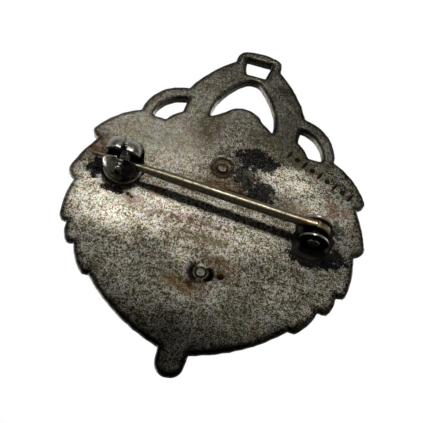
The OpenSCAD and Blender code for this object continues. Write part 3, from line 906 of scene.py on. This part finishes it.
def tarnished_silver():
    """Speckled, stained silver. The back is rubbed bright beside the pin, where a painted highlight also
    lies, is darker towards the rim, and has painted shade towards the foot. The front is dark in its
    grooves and bright on its high spots."""
    look = Look("tarnished_silver")
    warped = look.warped(2.5, 1.1)
    speck = look.noise(0.15, 2.0, 0.8)
    pits = look.grains(0.16)
    fleck = look.noise(0.42, 3.0, 0.75, 0.2)
    cloud = look.noise(1.7, 4.0, 0.65, 0.3)
    broad = look.noise(5.0, 3.0, 0.6, 0.3)
    hollow = look.attribute("hollow")
    height = look.axes(warped)[2]
    back = look.fit(look.axes(look.place)[1], -0.8, -0.3)
    # worn holds the rubbed wear together with the painted highlight beside the pin
    worn = 0.0
    for *oval, strength in RUBBED_AND_SHEEN:
        worn = look.most(look.times(look.patch(warped, *oval, 0.65), strength), worn)
    # How much of the grain is bright metal
    smear = look.noise(1.0, 3.0, 0.7, 0.6, at=look.stretched((2.6, 1.0, 0.55), -28))
    share = look.plus(
        look.times(worn, 0.55),
        look.fit(speck, 0.36, 0.64, -1.0, 1.0),
        look.fit(pits, 0.0, 1.0, -0.5, 0.5),
        look.fit(fleck, 0.32, 0.68, -0.65, 0.6),
        look.fit(cloud, 0.3, 0.7, -0.3, 0.25),
        look.fit(smear, 0.3, 0.7, -0.4, 0.35),
    )
    share = look.less(share, look.fit(hollow, 0.54, 0.75, 0.0, 0.5))
    share = look.plus(share, look.fit(hollow, 0.48, 0.3, 0.0, 0.3))
    share = look.fit(share, -0.5, 1.1)
    # The catch side and the crown are calmer than the rest
    calm = look.times(look.patch(warped, *CALM), 0.6)
    calm = look.most(calm, look.fit(height, 9.0, 14.0, 0.0, 0.4))
    share = look.plus(look.times(share, look.less(1.0, calm)), look.times(calm, 0.4))
    silver = look.mix(look.fit(cloud, 0.35, 0.65), (0.76, 0.70, 0.58), (0.80, 0.785, 0.73))
    dark = look.mix(look.fit(fleck, 0.4, 0.6), (0.06, 0.046, 0.027), (0.17, 0.145, 0.095))
    colour = look.mix(share, dark, silver)
    # How bright the whole surface is there: painted highlight in the rubbed ovals, shine patches on the
    # catch side and the crown foot, painted shade towards the foot, and darker near the rim and on one
    # strap
    tone = look.plus(
        look.times(worn, 0.95),
        look.fit(broad, 0.3, 0.7, 0.26, 0.42),
        look.times(look.patch(warped, *CATCH_SIDE_SHINE), 0.38),
        look.times(look.patch(warped, *CROWN_FOOT_SHINE), 0.1),
    )
    rim = look.plus(look.attribute("inset"), look.fit(cloud, 0.3, 0.7, -0.35, 0.35))
    rim = look.times(look.fit(rim, 1.1, -0.1), look.fit(height, 2.0, -5.0, 0.25, 0.6))
    # Painted shade: darker towards the foot, standing in for the fall-off of the lamp's highlight
    tone = look.times(
        tone,
        look.fit(height, -6.0, -17.0, 1.0, 0.3),
        look.fit(height, -12.0, -16.5, 1.0, 0.42),
        look.fit(look.patch(warped, *DULL_STRAP), 0.0, 1.0, 1.0, 0.55),
        look.less(1.0, rim),
    )
    high = look.fit(hollow, 0.62, 0.4, 0.12, 1.0)
    tone = look.plus(look.times(tone, back), look.times(high, look.less(1.0, back)))
    # Painted shade on the steep walls of the relief and the rim
    tone = look.times(tone, look.fit(look.attribute("wall"), 0.3, 0.9, 1.0, 0.4))
    colour = look.vector("SCALE", colour, tone)
    # Brown, purple and greenish flecks
    hue = look.vector("SCALE", look.noise(0.9, 3.0, 0.7, 0.4, colour=True), 0.55)
    colour = look.vector("MULTIPLY", colour, look.vector("ADD", hue, (0.725, 0.722, 0.672)))
    rough = look.fit(speck, 0.3, 0.7, 0.48, 0.34)
    # Stains, each broken up by the grain
    broken = look.times(look.fit(look.noise(0.7, 4.0, 0.7), 0.35, 0.62, 0.25, 1.0), back)
    for *oval, tint in STAINS:
        spot = look.times(look.patch(warped, *oval), broken)
        colour = look.mix(look.times(spot, 0.9), colour, tint)
        rough = look.plus(rough, look.times(spot, 0.12))
    marks = look.times(punch_marks(look), back, look.fit(fleck, 0.25, 0.4, 0.75, 1.0))
    colour = look.mix(marks, colour, NEAR_BLACK)
    # Black crust, soot and painted shade, with ragged edges that stay near their ovals
    ragged = look.fit(look.noise(0.8, 5.0, 0.75), 0.2, 0.8, -0.75, 0.75)
    thin = look.fit(speck, 0.5, 0.68, 1.0, 0.84)
    for *oval, strength in SOOT_AND_SHADE:
        spot = look.plus(look.patch(warped, *oval), ragged)
        limit = look.fit(look.patch(look.place, *oval), 0.0, 0.15)
        spot = look.times(look.fit(spot, 0.4, 0.6), back, limit)
        colour = look.mix(look.times(spot, strength, thin), colour, (0.006, 0.006, 0.007))
        rough = look.plus(rough, look.times(spot, 0.1))
    scratches = look.noise(1.0, 2.0, 0.5, at=look.stretched((0.04, 1.0, 2.4), 10))
    lines = look.times(look.fit(scratches, 0.66, 0.72, 0.0, 0.4), worn)
    colour = look.mix(lines, colour, (0.8, 0.77, 0.69))
    normal = look.bump(look.noise(0.14, 4.0, 0.8), 0.03)
    normal = look.bump(look.noise(0.45, 3.0, 0.65), 0.03, normal)
    return look.finish(colour, rough, 1.0, normal)


def dark_silver(name, worn, brown):
    """Peened post or its rove: worn on its level parts, darker in its hollows, with brown grain"""
    look = Look(name)
    grain = look.noise(0.22, 4.0, 0.7)
    grime = look.fit(look.attribute("hollow"), 0.42, 0.62)
    colour = look.mix(grime, worn, (0.03, 0.022, 0.012))
    colour = look.mix(look.fit(grain, 0.4, 0.62, 0.0, 0.7), colour, brown)
    rough = look.fit(grain, 0.3, 0.7, 0.38, 0.58)
    return look.finish(colour, rough, 1.0, look.bump(grain, 0.02))


def catch_painted_shade(look):
    """Painted shade inside the catch's bore and low down on its hinge side"""
    from_axis = look.length(look.place, (0, 1, 1), (0, -CATCH[1], -CATCH[2]))
    bore = look.fit(from_axis, BORE_R + 0.5, BORE_R + 0.25)
    level = look.axes(look.warped(0.5, 0.15))
    hinge_side = look.fit(level[0], CATCH[0] - 0.1, CATCH[0] - 0.5)
    low_side = look.times(hinge_side, look.fit(level[2], CATCH[2] - 0.6, CATCH[2] - 1.1))
    return look.most(bore, look.times(low_side, 0.9))


def worn_nickel(name, soot_and_shade_top, edge_spared, face=None, catch=False):
    """Grey metal with smudges, black up to the given height over the plate, painted shade together with
    soot, except on edges kept clear by the edge setting. If a face is given, painted shade covers all
    that is lower than it towards the badge's foot. The catch also has painted shade of its own."""
    look = Look(name)
    smudge = look.noise(0.9, 4.0, 0.6, 0.5)
    grain = look.noise(0.11, 3.0, 0.65)
    hollow = look.attribute("hollow")
    grime = look.math("ADD", look.fit(hollow, 0.54, 0.75), look.fit(smudge, 0.45, 0.75, 0.0, 0.5), True)
    colour = look.mix(grime, (0.62, 0.60, 0.54), (0.18, 0.16, 0.12))
    colour = look.mix(look.fit(grain, 0.52, 0.68, 0.0, 0.5), colour, (0.17, 0.145, 0.11))
    # Painted shade with soot: black low down near the plate
    over_plate = look.axes(look.warped(0.8, 0.25))[1]
    soot = look.fit(over_plate, soot_and_shade_top, soot_and_shade_top * 0.3, 0.0, 0.95)
    soot = look.less(soot, look.fit(hollow, 0.5, 0.36, 0.0, edge_spared), True)
    # Painted shade on the face towards the badge's foot and all below it
    if face is not None:
        soot = look.most(soot, look.fit(look.axes(look.place)[2], face + 0.14, face + 0.06))
    # The catch's bore and lower hinge side get painted shade
    if catch:
        soot = look.most(soot, catch_painted_shade(look))
    colour = look.mix(soot, colour, (0.010, 0.009, 0.009))
    rough = look.plus(look.fit(smudge, 0.3, 0.7, 0.24, 0.38), look.times(grime, 0.1))
    return look.finish(colour, rough, 1.0, look.bump(grain, 0.004))


def sooty_solder():
    """Black burnt flux over grey solder, lumpy and partly glossy"""
    look = Look("sooty_solder")
    lumps = look.noise(0.5, 4.0, 0.65, 0.3)
    stops = [(0.4, (0.004, 0.004, 0.004)), (0.66, (0.014, 0.013, 0.012)), (0.8, (0.15, 0.14, 0.13))]
    look.shader.inputs["Specular IOR Level"].default_value = 0.25
    rough = look.fit(lumps, 0.35, 0.7, 0.6, 0.4)
    metal = look.fit(lumps, 0.5, 0.7, 0.3, 1.0)
    return look.finish(look.ramp(lumps, stops), rough, metal, look.bump(lumps, 0.08))


def nickel_wire():
    """Drawn wire of yellowish nickel silver with fine marks along it, browner at its eye, and black
    with painted shade under the eye"""
    look = Look("nickel_wire")
    along = look.noise(1.0, 3.0, 0.6, at=look.stretched((2.5, 0.09, 0.09), -3.7))
    spots = look.noise(0.35, 4.0, 0.65)
    grime = look.fit(spots, 0.46, 0.66, 0.0, 0.75)
    colour = look.mix(look.fit(along, 0.35, 0.65), (0.43, 0.39, 0.28), (0.29, 0.26, 0.175))
    colour = look.mix(grime, colour, (0.14, 0.115, 0.07))
    eye = look.patch(look.place, -11.5, 0.3, 2.2, 2.0, 0.4)
    eye = look.times(eye, look.fit(spots, 0.4, 0.6, 0.2, 0.9))
    colour = look.mix(eye, colour, (0.33, 0.22, 0.10))
    # Painted shade: black under the eye
    level = look.axes(look.place)
    under = look.fit(level[2], EYE_Z - 0.3, EYE_Z - 0.45)
    under = look.times(under, look.fit(level[0], -9.0, -10.5))
    colour = look.mix(under, colour, NEAR_BLACK)
    rough = look.plus(look.fit(along, 0.3, 0.7, 0.33, 0.42), look.times(grime, 0.12))
    return look.finish(colour, rough, 1.0, look.bump(along, 0.006))


silver = tarnished_silver()
post_metal = dark_silver("dark_silver", (0.22, 0.21, 0.18), (0.07, 0.056, 0.035))
rove_metal = dark_silver("brown_silver", (0.095, 0.078, 0.045), (0.035, 0.025, 0.011))
nickel = worn_nickel("worn_nickel", 0.5, 0.8)
catch_nickel = worn_nickel("catch_nickel_worn_and_shaded", 0.5, 0.8, catch=True)
# The lower cheek is black with painted shade on its face towards the foot and low down
sooty_shaded_nickel = worn_nickel("sooty_shaded_nickel", 1.3, 0.4, face=CHEEK_Z["lower"] - CHEEK_HALF)
solder = sooty_solder()
wire_metal = nickel_wire()


# ---- pieces

FINE_STEP = 0.06
STEP = 0.07
plate_step = 0.18
shape = skin(plate_field, (-18.3, -3.05, -20.9), (18.3, 0.45, 24.3), (plate_step, 0.16, plate_step), 0)
make_piece("struck_plate", "badge_plate", silver, shape, rings=plate_rings)
shape = skin(device_field, (-9.1, -3.1, -9.95), (9.1, -0.9, 8.25), (0.14, 0.12, 0.14), 0)
make_piece("round_device", "centre_device", silver, shape)

for number, (where, (cx, cz)) in enumerate(POSTS.items()):
    low, high = (cx - 1.3, -1.6, cz - 1.3), (cx + 1.3, 0.2, cz + 1.3)
    shape = skin(partial(post_field, cx, cz, 81 + 10 * number), low, high, FINE_STEP)
    make_piece("post_head_" + where, "device_post_" + where, post_metal, shape)
    half = (ROVE_R[where] - POST_R) / 2
    field = partial(rove_field, cx, cz, 85 + 10 * number, POST_R + half, half - 0.02)
    shape = skin(field, low, high, FINE_STEP)
    make_piece("rove_ring_" + where, "post_rove_" + where, rove_metal, shape)

shape = skin(case_field, (-2.6, -2.3, -2.6), (2.6, 2.6, 2.6), STEP, 3, CATCH, catch_axes)
make_piece("catch_barrel", "catch_case", catch_nickel, shape)
shape = skin(rotor_field, (-0.8, -2.0, -2.8), (0.8, 2.0, 2.0), 0.05, 3, CATCH, catch_axes)
make_piece("catch_turning_ring", "catch_rotor", nickel, shape, "rotor")
cx, cz = CATCH[0], CATCH[2]
shape = skin(catch_foot_field, (cx - 2.6, -0.2, cz - 2.6), (cx + 2.6, 0.5, cz + 2.6), STEP)
make_piece("catch_round_foot", "catch_foot", nickel, shape)
shape = skin(catch_solder_field, (cx - 3.4, -0.3, cz - 3.4), (cx + 3.4, 0.5, cz + 3.4), STEP, 1)
make_piece("catch_solder_skirt", "catch_solder", solder, shape)

cx = HINGE[0]
shape = skin(hinge_foot_field, (cx - 2.4, -0.3, -3.1), (cx + 2.4, 0.6, 3.1), STEP)
# The hinge foot takes the black solder look, which paints the deep shade round the hinge
make_piece("hinge_long_foot", "hinge_foot", solder, shape)
shape = skin(hinge_solder_field, (cx - 3.2, -0.3, -3.9), (cx + 3.2, 0.5, 3.9), STEP, 1)
make_piece("hinge_solder_skirt", "hinge_solder", solder, shape)
for where, seed, look in (("lower", 73, sooty_shaded_nickel), ("upper", 75, nickel)):
    middle = CHEEK_Z[where]
    low, high = (cx - 2.0, 0.1, middle - 0.35), (cx + 2.0, 4.1, middle + 0.35)
    shape = skin(partial(cheek_field, middle, seed), low, high, FINE_STEP)
    make_piece("hinge_cheek_disc_" + where, "hinge_cheek_" + where, look, shape)
shape = skin(rivet_field, (cx - 1, 1.1, -1.7), (cx + 1, 3.0, 1.7), 0.05)
make_piece("hinge_rivet_peened", "hinge_rivet", nickel, shape)
low, high, step = (-1.9, -3.0, -0.7), (28.5, 0.75, 0.7), (0.09, 0.055, 0.055)
shape = skin(stem_field, low, high, step, 2, STEM_START, stem_axes)
make_piece("pin_wire", "pin_stem", wire_metal, shape, "pin")


# ---- floor, light and camera

FLOOR_Z = -0.1
FLOOR_HALF = 1.5
floor_mesh = bpy.data.meshes.new("floor")
corners = [(x * FLOOR_HALF, y * FLOOR_HALF, FLOOR_Z) for x, y in ((-1, -1), (1, -1), (1, 1), (-1, 1))]
floor_mesh.from_pydata(corners, [], [(0, 1, 2, 3)])
floor = bpy.data.objects.new("floor", floor_mesh)
link(floor)
floor_mesh.materials.append(Look("pale_floor").finish((0.9, 0.9, 0.9, 1), 0.8, 0.0))
# Reflected in the metal, the floor would brighten its black parts
floor.visible_glossy = False

# The camera sees white. All else is lit from the front side of the badge, more from above than from
# below: each row is an axis, the range it falls off over and the strength at both ends
WORLD_FALLS = ((1, 0.5, 0.0, 0.04, 1.0), (2, -0.7, 0.7, 0.10, 0.44))
world = bpy.data.worlds.new("studio")
bpy.context.scene.world = world
studio = Nodes(world)
direction = studio.axes(studio.add("ShaderNodeTexCoord", {}).outputs["Generated"])
strength = studio.times(*[studio.fit(direction[axis], *limits) for axis, *limits in WORLD_FALLS])
round_about = studio.add("ShaderNodeBackground", {"Color": (1, 0.985, 0.95, 1), "Strength": strength})
seen = studio.add("ShaderNodeBackground", {"Color": (1, 1, 1, 1)})
camera_ray = studio.add("ShaderNodeLightPath", {}).outputs["Is Camera Ray"]
both = studio.add("ShaderNodeMixShader", {0: camera_ray, 1: round_about.outputs[0], 2: seen.outputs[0]})
studio.add("ShaderNodeOutputWorld", {"Surface": both.outputs[0]})


def soft_light(name, position, size, power, tint):
    """Area light of the given width and height in metres that faces the badge"""
    data = bpy.data.lights.new(name, "AREA")
    data.shape = "RECTANGLE"
    data.size, data.size_y = size
    data.energy = power
    data.color = tint
    light = bpy.data.objects.new(name, data)
    light.location = position
    light.rotation_mode = "QUATERNION"
    light.rotation_quaternion = (-Vector(position)).to_track_quat("-Z", "Y")
    light.visible_camera = False
    link(light)


def toward(distance, across, upward):
    """Place in metres behind the badge, turned across to +X and upward, in degrees"""
    a, u = radians(across), radians(upward)
    level = distance * cos(a)
    return (distance * sin(a), level * cos(u), level * sin(u))


KEY_FAR = 0.22
FILL_FAR = 0.35
FRONT_TINT = (1, 0.99, 0.97)
for name, upward in (("key_strip_low", 13.5), ("key_strip_high", 18.5)):
    soft_light(name, toward(KEY_FAR, 4, upward), (0.04, 0.006), 0.075, (1, 0.985, 0.95))
for name, across in (("back_fill_catch_side", 52), ("back_fill_hinge_side", -52)):
    soft_light(name, toward(FILL_FAR, across, -14), (0.28, 0.3), 0.11, (1, 0.98, 0.94))
soft_light("front_light", (-0.2, -0.24, 0.26), (0.16, 0.16), 0.9, FRONT_TINT)
soft_light("front_fill", (0.28, -0.26, -0.04), (0.25, 0.3), 0.9, FRONT_TINT)


# Camera: pitched up at the badge from behind and below, then rolled. Distances are in mm.
CAMERA_PITCH = radians(28)
CAMERA_YAW = radians(-2.56)
CAMERA_ROLL = radians(16.97)
CAMERA_FAR = 130
LENS = 95.1
SENSOR = 36
TARGET = Vector((0.38, 0, 0))


def badge_to_row(u, v, w):
    """Direction across, up and out of the back, as seen from behind, in the model's axes"""
    return Vector((-u, w, v))


(cy, sy), (cp, sp), (cr, sr) = [(cos(a), sin(a)) for a in (CAMERA_YAW, CAMERA_PITCH, CAMERA_ROLL)]
axis_x = badge_to_row(cy, 0, sy)
axis_y = badge_to_row(-sy * sp, cp, cy * sp)
axis_z = badge_to_row(-sy * cp, -sp, cy * cp)
turn = Matrix((axis_x * cr + axis_y * sr, axis_y * cr - axis_x * sr, axis_z)).transposed()
camera_data = bpy.data.cameras.new("camera")
camera_data.lens = LENS
camera_data.sensor_width = SENSOR
camera_data.clip_start = 0.005
camera_data.clip_end = 20
camera = bpy.data.objects.new("camera", camera_data)
camera.matrix_world = Matrix.Translation((TARGET + axis_z * CAMERA_FAR) * MM) @ turn.to_4x4()
link(camera)
bpy.context.scene.camera = camera
bpy.context.scene.view_settings.view_transform = "Standard"
